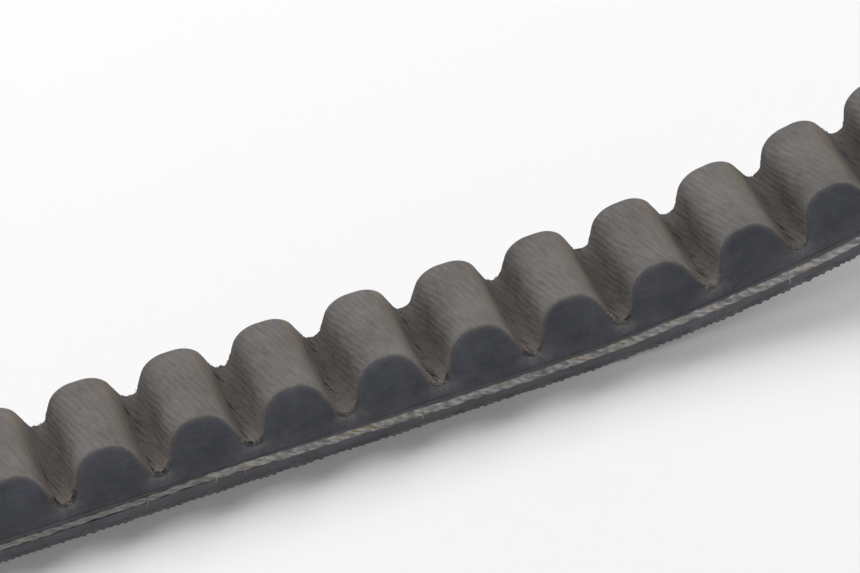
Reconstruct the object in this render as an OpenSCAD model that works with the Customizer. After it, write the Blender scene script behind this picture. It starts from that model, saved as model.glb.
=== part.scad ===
// Raw-edge cogged drive belt, standing on its back as a closed loop.
// The belt is cut at its valley roots into links, so that the loop can flex.
// X runs along the bottom run, Y across the belt, Z up. The origin is on the floor
// under the middle of the bottom run.

/* [Belt] */
// Cog pitch, measured along the cord line
pitch = 11.6; // [10.5:0.1:13]
// Cogs on one link; the bottom run holds twice as many
link_cogs = 6; // [5:1:8]
// Width of the belt across its back
back_width = 20; // [16:0.5:26]
// Lean of each cut flank from upright, half of the belt's V
flank_angle = 15; // [12:0.5:16]
// Bend of each shoulder link, between a straight run and a tight end
shoulder_turn = 18.9; // [12:0.1:30]

/* [Cogs] */
// Height of the cog rubber above the back
cog_height = 9.05; // [8.4:0.05:9.6]
// Height of the rubber at a valley root above the back
valley_height = 3.8; // [3.4:0.05:4.2]
// Lean of a cog's walls from its centre line
wall_angle = 21.9; // [19:0.1:24]
// Flat land left on a cog's tip between its two rounds
tip_land = 1.1; // [0.6:0.1:1.4]
// Round of a cog's tip
tip_radius = 3; // [2.7:0.05:3.3]

/* [Layers] */
// Facing fabric over the cogs
facing_thickness = 0.45; // [0.3:0.05:0.6]
// Fabric on the back
back_fabric_thickness = 0.4; // [0.3:0.05:0.6]
// Height of the cord line above the back
cord_height = 1.85; // [1.6:0.05:2.1]
// Diameter of one tension cord
cord_diameter = 0.85; // [0.6:0.05:1]
// Cords side by side across the belt
cord_count = 15; // [9:2:17]
// How far inside the cut flank the outermost cords are centred
cord_inset = 0.15; // [0:0.05:0.3]
// Cushion rubber left over the cords, under the cogs
cushion = 0.15; // [0.1:0.05:0.3]
// Bond line left between two layers
bond = 0.02; // [0.01:0.005:0.04]

/* [Link ends] */
// How much the round end of a link stands proud of the band
knuckle_proud = 0.2; // [0.1:0.05:0.4]
// Clearance between a link's round end and the next link's hollow
knuckle_gap = 0.15; // [0.1:0.01:0.25]
// Gap at the seam in the middle of the top run
seam_gap = 0.3; // [0.2:0.05:0.6]

/* [Hidden] */
// Fineness of the drawing: cogs, bends and cords
$fn = 72;
bend_fn = 360;
cord_fn = 24;
root_steps = 5;
tip_steps = 6;

// Tones of the five layers
facing_tone = [0.42, 0.37, 0.34];
rubber_tone = [0.20, 0.22, 0.25];
cord_tone = [0.80, 0.72, 0.55];
back_rubber_tone = [0.17, 0.18, 0.20];
back_fabric_tone = [0.27, 0.27, 0.28];

// Every height below is counted from the cord line, towards the cogs
link_length = link_cogs * pitch;
tip = cog_height - cord_height;
valley = valley_height - cord_height;
back = -cord_height;
back_fabric_top = back + back_fabric_thickness;
cushion_top = cord_diameter / 2 + cushion;
knuckle_radius = max(valley + facing_thickness, cord_height) + knuckle_proud;
// Reach of the cutting shapes past what they cut, and of the sweeps past a link's ends
spare = 1;
reach = knuckle_radius + spare;

// Links 1 to 5 follow the bottom run on each side: shoulder, end, end, shoulder, top run
link_turn = [shoulder_turn, 90 - shoulder_turn, 90 - shoulder_turn, shoulder_turn, 0];
function turn(i) = i == 0 ? 0 : link_turn[i - 1];
// Bend radius of a link at the cord line; 0 stands for a straight link
function bend(i) = turn(i) == 0 ? 0 : link_length / (turn(i) * PI / 180);
// Angle that a link bends through in a length s
function bend_angle(r, s) = r == 0 ? 0 : s / r * 180 / PI;
// Point at length s along a link's cord line and height h above it
function at(r, s, h) = r == 0 ? [s, h] :
    let (a = bend_angle(r, s)) [(r - h) * sin(a), r - (r - h) * cos(a)];
function spin(p, a) = [p.x * cos(a) - p.y * sin(a), p.x * sin(a) + p.y * cos(a)];
// Direction and place of the hinge at which link i starts
function heading(i) = i <= 1 ? 0 : heading(i - 1) + turn(i - 1);
function hinge(i) = i <= 1 ? [link_length, cord_height] :
    hinge(i - 1) + spin(at(bend(i - 1), link_length, 0), heading(i - 1));

// Half of the belt's width at a height: the flanks lean in towards the cogs
function half_width(h) = back_width / 2 - (h - back) * tan(flank_angle);
cord_pitch = 2 * (half_width(0) - cord_inset) / (cord_count - 1);
cord_places = [for (j = [0:cord_count - 1]) (j - (cord_count - 1) / 2) * cord_pitch];

// A valley's walls close as the link bends, by the angle of half a pitch
function half_pitch_turn(r) = bend_angle(r, pitch / 2);
// Length along the link from a valley to the round of the next cog's tip
function tip_place(r) = pitch / 2 - (r == 0 ? tip_land / 2 :
    r * asin(tip_land / 2 / (r - tip + tip_radius)) * PI / 180);
// Root round that touches both walls with its floor at the valley height
function root_radius(r) =
    let (lean = wall_angle - half_pitch_turn(r), c = at(r, tip_place(r), tip - tip_radius))
    (c.x * cos(lean) - (c.y - valley) * sin(lean) - tip_radius) / (1 - sin(lean));

// Points of a round about c, from angle a to angle b
function arc(c, radius, a, b, steps) =
    [for (j = [0:steps]) let (t = a + (b - a) * j / steps) c + radius * [cos(t), sin(t)]];
function flip(points) = [for (j = [len(points) - 1:-1:0]) points[j]];
function mirrored(points) = [for (p = points) [-p.x, p.y]];
// Right half of a valley under a skin of thickness e: root round, wall, then the next cog's tip round
function half_valley(r, e) =
    let (lean = wall_angle - half_pitch_turn(r), root = root_radius(r), s = tip_place(r))
    concat(
        arc([0, valley + root], root - e, -90, -lean, root_steps),
        arc(at(r, s, tip - tip_radius), tip_radius + e, 180 - lean, 90 + bend_angle(r, s), tip_steps)
    );
function carry(r, s, p) = r == 0 ? p + [s, 0] : [0, r] + spin(p - [0, r], bend_angle(r, s));
// Line over the cogs of a link, from the cog before it to the cog after it
function cog_line(i, e) =
    let (r = bend(i), half = half_valley(r, e))
    [for (s = [start(i):pitch:link_length + pitch / 2], p = concat(flip(mirrored(half)), half)) carry(r, s, p)];
// Line under the cogs, well below the cushion's top
function under_line(i) =
    let (r = bend(i), s0 = start(i) - tip_place(r), s1 = link_length + tip_place(r))
    [for (j = [0:4 * link_cogs]) at(r, s0 + (s1 - s0) * j / (4 * link_cogs), -spare)];

// Moves a flat outline to length s along a link
module along(r, s) {
    if (r == 0) translate([s, 0]) children();
    else translate([0, r]) rotate(bend_angle(r, s)) translate([0, -r]) children();
}

// Flat band between two heights, from length s0 to s1
module band(r, s0, s1, low, high) {
    if (r == 0) translate([s0, low]) square([s1 - s0, high - low]);
    else intersection() {
        translate([0, r]) difference() {
            circle(r - low, $fn = bend_fn);
            circle(r - high, $fn = bend_fn);
        }
        polygon([[0, r], for (k = [0:4]) at(r, s0 + (s1 - s0) * k / 4, -r)]);
    }
}

// First length of a link, and the length at which it ends
function start(i) = i == 0 ? -link_length : 0;
function finish(i) = i == 5 ? link_length - seam_gap / 2 : link_length;

// Side view of the room a link may fill: hollow where it starts, round where it ends
module zone(i) {
    r = bend(i);
    difference() {
        union() {
            band(r, start(i), finish(i), back - spare, tip + facing_thickness + spare);
            if (i < 5) along(r, finish(i)) circle(knuckle_radius);
            if (i == 0) along(r, start(i)) circle(knuckle_radius);
        }
        if (i > 0) circle(knuckle_radius + knuckle_gap);
    }
}

// Sweeps a section, drawn as height and width, along a link
module sweep(i) {
    r = bend(i);
    first = start(i) - reach;
    span = finish(i) + reach - first;
    if (r == 0) translate([first, 0, 0]) rotate([90, 0, 90]) linear_extrude(span) children();
    else along(r, first) translate([0, r, 0]) rotate(-90)
        rotate_extrude(angle = bend_angle(r, span), $fn = bend_fn)
            translate([r, 0]) mirror([1, 0]) children();
}

// Section of the belt between two heights
module section(low, high) {
    polygon([
        [low, -half_width(low)], [low, half_width(low)], [high, half_width(high)], [high, -half_width(high)]
    ]);
}

// Round sections of the cords, or of the holes they lie in
module cord_rounds(radius) {
    for (w = cord_places) translate([0, w]) circle(radius, $fn = cord_fn);
}

// Keeps what lies inside a side view
module within(depth = back_width + 2 * spare) {
    intersection() {
        children(0);
        translate([0, 0, -depth / 2]) linear_extrude(depth) children(1);
    }
}

// Woven fabric that covers the cogs
module facing_fabric(i) {
    within() {
        sweep(i) section(0, tip + facing_thickness + spare);
        intersection() {
            zone(i);
            polygon(concat(cog_line(i, facing_thickness), flip(cog_line(i, bond))));
        }
    }
}

// Rubber of the cogs, down to the cushion
module cog_rubber(i) {
    within() {
        sweep(i) section(cushion_top + bond, tip + spare);
        intersection() {
            zone(i);
            polygon(concat(cog_line(i, 0), flip(under_line(i))));
        }
    }
}

// Cords laid side by side on the cord line; the flanks cut the outermost ones
module tension_cords(i) {
    within() {
        sweep(i) intersection() {
            cord_rounds(cord_diameter / 2);
            section(-cord_diameter, cord_diameter);
        }
        zone(i);
    }
}

// Rubber between the cogs and the back fabric, the cushion that the cords lie in
module back_rubber(i) {
    within() {
        sweep(i) difference() {
            section(back_fabric_top + bond, cushion_top);
            cord_rounds(cord_diameter / 2 + bond);
        }
        zone(i);
    }
}

// Fabric on the belt's back, which meets the floor
module back_fabric(i) {
    within() {
        sweep(i) section(back, back_fabric_top);
        zone(i);
    }
}

// Stands the loop, drawn lying on its side, upright on the floor
module stand() { rotate([90, 0, 0]) children(); }
module bottom() { stand() translate([0, cord_height]) children(); }
module right(i) { stand() translate(hinge(i)) rotate(heading(i)) children(); }
module left(i) { stand() mirror([1, 0]) translate(hinge(i)) rotate(heading(i)) children(); }

module facing_fabric_bottom() { color(facing_tone) bottom() facing_fabric(0); }
module facing_fabric_r1() { color(facing_tone) right(1) facing_fabric(1); }
module facing_fabric_r2() { color(facing_tone) right(2) facing_fabric(2); }
module facing_fabric_r3() { color(facing_tone) right(3) facing_fabric(3); }
module facing_fabric_r4() { color(facing_tone) right(4) facing_fabric(4); }
module facing_fabric_r5() { color(facing_tone) right(5) facing_fabric(5); }
module facing_fabric_l1() { color(facing_tone) left(1) facing_fabric(1); }
module facing_fabric_l2() { color(facing_tone) left(2) facing_fabric(2); }
module facing_fabric_l3() { color(facing_tone) left(3) facing_fabric(3); }
module facing_fabric_l4() { color(facing_tone) left(4) facing_fabric(4); }
module facing_fabric_l5() { color(facing_tone) left(5) facing_fabric(5); }

module cog_rubber_bottom() { color(rubber_tone) bottom() cog_rubber(0); }
module cog_rubber_r1() { color(rubber_tone) right(1) cog_rubber(1); }
module cog_rubber_r2() { color(rubber_tone) right(2) cog_rubber(2); }
module cog_rubber_r3() { color(rubber_tone) right(3) cog_rubber(3); }
module cog_rubber_r4() { color(rubber_tone) right(4) cog_rubber(4); }
module cog_rubber_r5() { color(rubber_tone) right(5) cog_rubber(5); }
module cog_rubber_l1() { color(rubber_tone) left(1) cog_rubber(1); }
module cog_rubber_l2() { color(rubber_tone) left(2) cog_rubber(2); }
module cog_rubber_l3() { color(rubber_tone) left(3) cog_rubber(3); }
module cog_rubber_l4() { color(rubber_tone) left(4) cog_rubber(4); }
module cog_rubber_l5() { color(rubber_tone) left(5) cog_rubber(5); }

module tension_cords_bottom() { color(cord_tone) bottom() tension_cords(0); }
module tension_cords_r1() { color(cord_tone) right(1) tension_cords(1); }
module tension_cords_r2() { color(cord_tone) right(2) tension_cords(2); }
module tension_cords_r3() { color(cord_tone) right(3) tension_cords(3); }
module tension_cords_r4() { color(cord_tone) right(4) tension_cords(4); }
module tension_cords_r5() { color(cord_tone) right(5) tension_cords(5); }
module tension_cords_l1() { color(cord_tone) left(1) tension_cords(1); }
module tension_cords_l2() { color(cord_tone) left(2) tension_cords(2); }
module tension_cords_l3() { color(cord_tone) left(3) tension_cords(3); }
module tension_cords_l4() { color(cord_tone) left(4) tension_cords(4); }
module tension_cords_l5() { color(cord_tone) left(5) tension_cords(5); }

module back_rubber_bottom() { color(back_rubber_tone) bottom() back_rubber(0); }
module back_rubber_r1() { color(back_rubber_tone) right(1) back_rubber(1); }
module back_rubber_r2() { color(back_rubber_tone) right(2) back_rubber(2); }
module back_rubber_r3() { color(back_rubber_tone) right(3) back_rubber(3); }
module back_rubber_r4() { color(back_rubber_tone) right(4) back_rubber(4); }
module back_rubber_r5() { color(back_rubber_tone) right(5) back_rubber(5); }
module back_rubber_l1() { color(back_rubber_tone) left(1) back_rubber(1); }
module back_rubber_l2() { color(back_rubber_tone) left(2) back_rubber(2); }
module back_rubber_l3() { color(back_rubber_tone) left(3) back_rubber(3); }
module back_rubber_l4() { color(back_rubber_tone) left(4) back_rubber(4); }
module back_rubber_l5() { color(back_rubber_tone) left(5) back_rubber(5); }

module back_fabric_bottom() { color(back_fabric_tone) bottom() back_fabric(0); }
module back_fabric_r1() { color(back_fabric_tone) right(1) back_fabric(1); }
module back_fabric_r2() { color(back_fabric_tone) right(2) back_fabric(2); }
module back_fabric_r3() { color(back_fabric_tone) right(3) back_fabric(3); }
module back_fabric_r4() { color(back_fabric_tone) right(4) back_fabric(4); }
module back_fabric_r5() { color(back_fabric_tone) right(5) back_fabric(5); }
module back_fabric_l1() { color(back_fabric_tone) left(1) back_fabric(1); }
module back_fabric_l2() { color(back_fabric_tone) left(2) back_fabric(2); }
module back_fabric_l3() { color(back_fabric_tone) left(3) back_fabric(3); }
module back_fabric_l4() { color(back_fabric_tone) left(4) back_fabric(4); }
module back_fabric_l5() { color(back_fabric_tone) left(5) back_fabric(5); }

facing_fabric_bottom();
cog_rubber_bottom();
tension_cords_bottom();
back_rubber_bottom();
back_fabric_bottom();
facing_fabric_r1();
facing_fabric_r2();
facing_fabric_r3();
facing_fabric_r4();
facing_fabric_r5();
facing_fabric_l1();
facing_fabric_l2();
facing_fabric_l3();
facing_fabric_l4();
facing_fabric_l5();
cog_rubber_r1();
cog_rubber_r2();
cog_rubber_r3();
cog_rubber_r4();
cog_rubber_r5();
cog_rubber_l1();
cog_rubber_l2();
cog_rubber_l3();
cog_rubber_l4();
cog_rubber_l5();
tension_cords_r1();
tension_cords_r2();
tension_cords_r3();
tension_cords_r4();
tension_cords_r5();
tension_cords_l1();
tension_cords_l2();
tension_cords_l3();
tension_cords_l4();
tension_cords_l5();
back_rubber_r1();
back_rubber_r2();
back_rubber_r3();
back_rubber_r4();
back_rubber_r5();
back_rubber_l1();
back_rubber_l2();
back_rubber_l3();
back_rubber_l4();
back_rubber_l5();
back_fabric_r1();
back_fabric_r2();
back_fabric_r3();
back_fabric_r4();
back_fabric_r5();
back_fabric_l1();
back_fabric_l2();
back_fabric_l3();
back_fabric_l4();
back_fabric_l5();
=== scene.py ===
"""Dresses a raw-edge cogged drive belt, a closed loop standing on its back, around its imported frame."""
import logging
import math
from collections.abc import Iterable
from dataclasses import dataclass, field
from enum import Enum

import bpy
import numpy as np
from mathutils import Matrix, Vector


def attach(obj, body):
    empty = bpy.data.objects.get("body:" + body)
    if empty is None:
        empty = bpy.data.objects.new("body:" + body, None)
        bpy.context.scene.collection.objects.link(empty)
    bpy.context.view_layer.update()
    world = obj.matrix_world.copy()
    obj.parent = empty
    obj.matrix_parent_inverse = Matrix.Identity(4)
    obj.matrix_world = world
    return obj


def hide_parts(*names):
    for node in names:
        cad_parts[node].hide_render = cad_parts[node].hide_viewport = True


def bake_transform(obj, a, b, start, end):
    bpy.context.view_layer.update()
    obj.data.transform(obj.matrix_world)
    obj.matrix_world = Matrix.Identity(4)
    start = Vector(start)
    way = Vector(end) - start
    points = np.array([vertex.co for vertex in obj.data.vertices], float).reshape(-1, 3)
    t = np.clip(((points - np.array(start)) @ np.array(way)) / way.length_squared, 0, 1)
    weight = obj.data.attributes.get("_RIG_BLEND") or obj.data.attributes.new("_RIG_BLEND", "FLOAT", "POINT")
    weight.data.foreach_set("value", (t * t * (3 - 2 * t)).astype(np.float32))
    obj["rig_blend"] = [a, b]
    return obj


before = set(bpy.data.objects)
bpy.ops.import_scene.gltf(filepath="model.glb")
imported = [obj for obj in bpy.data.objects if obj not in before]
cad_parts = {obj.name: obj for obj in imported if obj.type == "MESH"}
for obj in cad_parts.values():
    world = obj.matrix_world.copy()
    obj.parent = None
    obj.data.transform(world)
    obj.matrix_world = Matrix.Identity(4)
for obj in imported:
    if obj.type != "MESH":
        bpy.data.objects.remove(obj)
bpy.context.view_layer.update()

LOG = logging.getLogger("cogged_belt")
MM = 0.001
# The near flank of the bottom run, and the far one.
SIDES = (-1.0, 1.0)
# Keeps the patterns of the two flanks apart.
FLANK_SHIFT = 40.0
FIBRE_SEED = 120
FILAMENT_SEED = 320
# Large primes that scatter the lattice of the noise: for its columns, rows and seed, and for a last stir.
SCATTER = (374761393, 668265263, 2147483647, 1274126177)
# Places along a loose strand, from its root to its tip, and the corners around it.
STRAND = np.linspace(0, 1, 5)
STRAND_TURN = np.array([0, 2, 4]) * math.pi / 3

Array = np.ndarray
Range = tuple[float, float]
Triple = tuple[float, float, float]
# Positions and colours of a ramp, and the dark and the light end of a tone.
Stops = tuple[tuple[float, str], ...]
Tone = tuple[str, str]
Tree = bpy.types.NodeTree
Socket = bpy.types.NodeSocket


class Layer(Enum):
    """The five layers of the belt, by the names of their nodes, material slots and pieces."""

    FACING = ("facing_fabric", "facing_fabric", "facing")
    COGS = ("cog_rubber", "cog_rubber", "cogs")
    CORDS = ("tension_cords", "tension_cord", "cords")
    BACK_RUBBER = ("back_rubber", "back_rubber", "back_rubber")
    BACK_FABRIC = ("back_fabric", "back_fabric", "back_cloth")

    def __init__(self, node: str, slot: str, stem: str) -> None:
        """Keeps the start of the nodes' names, the slot and the start of the pieces' names."""
        self.node, self.slot, self.stem = node, slot, stem


class Pattern(Enum):
    """Noise in the shapes: a seed, and the size of a blob along two coordinates, in millimetres.

    Where the second coordinate only tells lines apart, its size is 1. The seeds of the last two were picked
    for a near cord that drifts and wears as the real one does.
    """

    CREASE = (20, 0.7, 5.0)
    FOLD = (21, 1.7, 9.0)
    RIPPLE = (22, 1.0, 5.0)
    FINE_TEAR = (23, 0.42, 1.0)
    CRACK = (24, 0.6, 3.0)
    CRACK_PATCH = (25, 8.0, 4.0)
    CRACK_WANDER = (26, 5.0, 1.5)
    CORD_SWAY = (27, 2.6, 1.0)
    CORD_GIRTH = (28, 1.1, 1.0)
    CHIP = (29, 0.9, 1.0)
    BACK_THREAD = (31, 2.5, 1.0)
    BACK_FRAY = (32, 0.5, 1.0)
    CORD_TURN = (33, 2.0, 1.0)
    WIDE_TEAR = (34, 1.3, 1.0)
    # Swing of the dark line of grime and painted shade over the cord.
    GRIME_SHADE = (35, 7.0, 1.0)
    CORD_EDGE = (36, 0.7, 1.0)
    CORD_KNOT = (37, 0.6, 1.0)
    CORD_DRIFT = (717, 15.0, 1.0)
    CORD_WEAR = (5375, 22.0, 1.0)


@dataclass(frozen=True)
class BeltSizes:
    """Sizes of the belt in millimetres and degrees, the same as its solids have."""

    pitch: float = 11.6
    link_cogs: int = 6
    side_links: int = 5
    back_width: float = 20.0
    flank_angle: float = 15.0
    shoulder_turn: float = 18.9
    cog_height: float = 9.05
    valley_height: float = 3.8
    wall_angle: float = 21.9
    tip_land: float = 1.1
    tip_radius: float = 3.0
    facing: float = 0.45
    back_fabric: float = 0.4
    cord_height: float = 1.85
    cord_diameter: float = 0.85
    cord_count: int = 15
    cord_inset: float = 0.15
    cushion: float = 0.15
    seam: float = 0.02

    @property
    def link_length(self) -> float:
        """Length of one link along the cord line."""
        return self.link_cogs * self.pitch

    @property
    def tip(self) -> float:
        """Height of the cog rubber over the cord line."""
        return self.cog_height - self.cord_height

    @property
    def valley(self) -> float:
        """Height of the valley rubber over the cord line."""
        return self.valley_height - self.cord_height

    @property
    def back(self) -> float:
        """Height of the back, below the cord line."""
        return -self.cord_height

    @property
    def cushion_top(self) -> float:
        """Height at which the cog rubber meets the cushion around the cords."""
        return self.cord_diameter / 2 + self.cushion

    @property
    def half_loop_cogs(self) -> int:
        """Cogs from the middle of the bottom run to the seam in the top run."""
        return (self.side_links + 1) * self.link_cogs

    def half_width(self, height: Array | float) -> Array | float:
        """Gives half of the belt's width at a height over the cord line."""
        lean = math.tan(math.radians(self.flank_angle))
        return self.back_width / 2 - (height - self.back) * lean


def ease(share: Array) -> Array:
    """Gives a smooth step for shares from 0 to 1."""
    return share * share * (3 - 2 * share)


def smooth(low: float, high: float, value: Array) -> Array:
    """Gives a smooth step from 0 at low to 1 at high."""
    return ease(np.clip((value - low) / (high - low), 0, 1))


def noise(pattern: Pattern, x: Array, y: Array | float = 0.0) -> Array:
    """Smooth value noise on a plane.

    Args:
        pattern: Seed and sizes of the pattern.
        x: First coordinate.
        y: Second coordinate.

    Returns:
        Values between -1 and 1, in the shape of the coordinates.
    """
    seed, width, length = pattern.value
    x, y = np.broadcast_arrays(np.asarray(x, float) / width, np.asarray(y, float) / length)
    column, row = np.floor(x).astype(np.int64), np.floor(y).astype(np.int64)
    across, along = ease(x - column), ease(y - row)

    def corner(dx: int, dy: int) -> Array:
        """Gives the lattice value at one corner of each cell.

        Args:
            dx: 0 for the left corners, 1 for the right ones.
            dy: 0 for the lower corners, 1 for the upper ones.

        Returns:
            Values between -1 and 1.
        """
        mixed = (column + dx) * SCATTER[0] + (row + dy) * SCATTER[1] + seed * SCATTER[2]
        mixed = (mixed ^ (mixed >> 13)) * SCATTER[3]
        return ((mixed ^ (mixed >> 16)) & 0xFFFF) / 32767.5 - 1.0

    low = corner(0, 0) * (1 - across) + corner(1, 0) * across
    high = corner(0, 1) * (1 - across) + corner(1, 1) * across
    return low * (1 - along) + high * along


class LoopPath:
    """Cord line of the loop, signed from the middle of the bottom run: right is positive."""

    def __init__(self, sizes: BeltSizes) -> None:
        """Lays out the links of one half.

        Args:
            sizes: Sizes of the belt.
        """
        self.sizes = sizes
        end_turn = 90 - sizes.shoulder_turn
        turns = (0.0, sizes.shoulder_turn, end_turn, end_turn, sizes.shoulder_turn, 0.0)
        length = sizes.link_length
        self.radii = tuple(length / math.radians(t) if t else 0.0 for t in turns)
        self.starts: list[tuple[Array, float]] = []
        place, heading = np.array([0.0, sizes.cord_height]), 0.0
        for turn, radius in zip(turns, self.radii):
            self.starts.append((place, heading))
            place = place + self.spin(self.bent(radius, np.array([length]), np.zeros(1)), heading)[0]
            heading += math.radians(turn)

    @staticmethod
    def spin(points: Array, angle: float) -> Array:
        """Turns points, one per row, about the origin of their plane."""
        c, s = math.cos(angle), math.sin(angle)
        return points @ np.array([[c, s], [-s, c]])

    @staticmethod
    def bent(radius: float, length: Array, height: Array) -> Array:
        """Gives points along and over a link that starts at the origin.

        Args:
            radius: Bend radius of the link, or 0 for a straight one.
            length: Lengths along the link.
            height: Heights over it, towards the centre of the bend.

        Returns:
            One row of two coordinates for each length.
        """
        if not radius:
            return np.stack([length, height], -1)
        angle = length / radius
        reach = radius - height
        return np.stack([reach * np.sin(angle), radius - reach * np.cos(angle)], -1)

    def point(self, length: Array, height: Array | float) -> Array:
        """Gives places in the plane of the loop.

        Args:
            length: Signed lengths along the cord line.
            height: Heights over the cord line, towards the cogs.

        Returns:
            One row of x and z for each length.
        """
        length = np.asarray(length, float)
        height = np.broadcast_to(np.asarray(height, float), length.shape)
        half_loop = self.sizes.half_loop_cogs * self.sizes.pitch
        far = np.minimum(np.abs(length), half_loop - self.sizes.seam / 2)
        link = np.clip((far / self.sizes.link_length).astype(int), 0, len(self.starts) - 1)
        out = np.zeros(length.shape + (2,))
        for index, (place, heading) in enumerate(self.starts):
            here = link == index
            local = far[here] - index * self.sizes.link_length
            bent = self.bent(self.radii[index], local, height[here])
            out[here] = place + self.spin(bent, heading)
        out[..., 0] *= np.where(length < 0, -1.0, 1.0)
        return out

    def place(self, length: Array, height: Array, across: Array) -> Array:
        """Gives points in space, in metres, for lengths, heights and widths in millimetres."""
        flat = self.point(length, height)
        return np.stack([flat[..., 0], np.broadcast_to(across, flat.shape[:-1]), flat[..., 1]], -1) * MM


class CogLine:
    """Outline over the cogs, all the way round the loop, sampled evenly on every cog."""

    ROOT_STEPS = 7
    WALL_STEPS = 13
    TIP_STEPS = 16
    LAND_STEPS = 3
    FALL_SLOPE = -0.05

    def __init__(self, path: LoopPath) -> None:
        """Samples the line on the facing and on the rubber under it.

        Args:
            path: Cord line of the loop.
        """
        self.path = path
        sizes = path.sizes
        self.steps = 2 * (self.ROOT_STEPS + self.WALL_STEPS + self.TIP_STEPS + self.LAND_STEPS)
        self.outer = self._line(sizes.facing)
        self.inner = self._line(0.0)
        flat = path.point(self.outer[:, 0], self.outer[:, 1])
        step = np.linalg.norm(np.diff(flat, axis=0), axis=1)
        self.along = np.concatenate([[0.0], np.cumsum(step)])
        self.along -= self.along[-1] / 2
        top, root = sizes.tip + sizes.facing, sizes.valley + sizes.facing
        self.depth = np.clip((top - self.outer[:, 1]) / (top - root), 0, 1)
        self.falling = np.gradient(self.outer[:, 1], self.along) < self.FALL_SLOPE
        nearest = np.round(np.arange(len(self.along)) / self.steps).astype(int) * self.steps
        self.from_root = self.along - self.along[nearest]

    def _line(self, skin: float) -> Array:
        """Gives the line all the way round the loop.

        Args:
            skin: Thickness of what covers the rubber.

        Returns:
            One row of length and height for each sample.
        """
        sizes = self.path.sizes
        rows: list[Array] = []
        for cog in range(sizes.half_loop_cogs):
            half = self._half_valley(self.path.radii[cog // sizes.link_cogs], skin)
            rows.append(half[:-1] + [cog * sizes.pitch, 0])
            back = half[::-1] * [-1, 1] + [(cog + 1) * sizes.pitch, 0]
            rows.append(back[:-1])
        rows.append(back[-1:])
        right = np.concatenate(rows)
        left = right[:0:-1] * [-1, 1]
        return np.concatenate([left, right])

    def _half_valley(self, radius: float, skin: float) -> Array:
        """Gives the line from a valley's root to the middle of the next cog.

        Args:
            radius: Bend radius of the link, or 0 for a straight one.
            skin: Thickness of what covers the rubber.

        Returns:
            One row of length and height for each sample.
        """
        sizes = self.path.sizes
        half_turn = sizes.pitch / 2 / radius if radius else 0.0
        lean = math.radians(sizes.wall_angle) - half_turn
        tip_place = sizes.pitch / 2 - sizes.tip_land / 2
        if radius:
            reach = radius - sizes.tip + sizes.tip_radius
            tip_place = sizes.pitch / 2 - radius * math.asin(sizes.tip_land / 2 / reach)
        centre = self.path.bent(radius, np.array(tip_place), np.array(sizes.tip - sizes.tip_radius))
        rise = centre[1] - sizes.valley
        root = (centre[0] * math.cos(lean) - rise * math.sin(lean) - sizes.tip_radius) / (1 - math.sin(lean))
        tilt = tip_place / radius if radius else 0.0
        turn = np.linspace(-math.pi / 2, -lean, self.ROOT_STEPS + 1)
        low = [0, sizes.valley + root] + (root - skin) * np.stack([np.cos(turn), np.sin(turn)], -1)
        turn = np.linspace(math.pi - lean, math.pi / 2 + tilt, self.TIP_STEPS + 1)
        high = centre + (sizes.tip_radius + skin) * np.stack([np.cos(turn), np.sin(turn)], -1)
        share = np.linspace(0, 1, self.WALL_STEPS + 1)[1:-1, None]
        wall = low[-1] * (1 - share) + high[0] * share
        flat = np.concatenate([low, wall, high])
        if radius:
            x, depth = flat[:, 0], radius - flat[:, 1]
            flat = np.stack([radius * np.arctan2(x, depth), radius - np.hypot(x, depth)], -1)
        share = np.linspace(0, 1, self.LAND_STEPS + 1)[1:, None]
        land = flat[-1] * (1 - share) + np.array([sizes.pitch / 2, sizes.tip + skin]) * share
        return np.concatenate([flat, land])

    def rows(self, first_cog: int, last_cog: int) -> slice:
        """Gives the samples from one valley to another, by signed cog numbers."""
        middle = self.path.sizes.half_loop_cogs
        return slice((first_cog + middle) * self.steps, (last_cog + middle) * self.steps + 1)


@dataclass(frozen=True)
class Span:
    """A stretch of the loop that is one piece in each layer, bending across at most one hinge."""

    name: str
    first_cog: int
    last_cog: int
    node_end: str
    body: str
    next_body: str | None = None

    def lengths(self, sizes: BeltSizes, step: float) -> Array:
        """Gives even samples along the cord line, no further apart than a step."""
        low, high = self.first_cog * sizes.pitch, self.last_cog * sizes.pitch
        return np.linspace(low, high, max(2, int(math.ceil((high - low) / step)) + 1))


def loop_spans() -> list[Span]:
    """Cuts the loop into the middle of the bottom run, five bends a side and the two halves of the top run.

    Returns:
        The spans, the right side before the left one.
    """
    step, last = BeltSizes.link_cogs, BeltSizes.side_links
    half = step // 2
    spans = [Span("bottom", -half, half, "bottom", "bottom_run")]
    for side, sign, letter in (("right", 1, "r"), ("left", -1, "l")):
        for bend in range(1, last + 1):
            ends = sorted((sign * (half + (bend - 1) * step), sign * (half + bend * step)))
            inner = "bottom_run" if bend == 1 else f"{side}_link_{bend - 1}"
            spans.append(Span(f"{letter}{bend}", *ends, f"{letter}{bend}", inner, f"{side}_link_{bend}"))
        ends = sorted((sign * (half + last * step), sign * (last + 1) * step))
        spans.append(Span(f"top_{side}", *ends, f"{letter}{last}", f"{side}_link_{last}"))
    return spans


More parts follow.
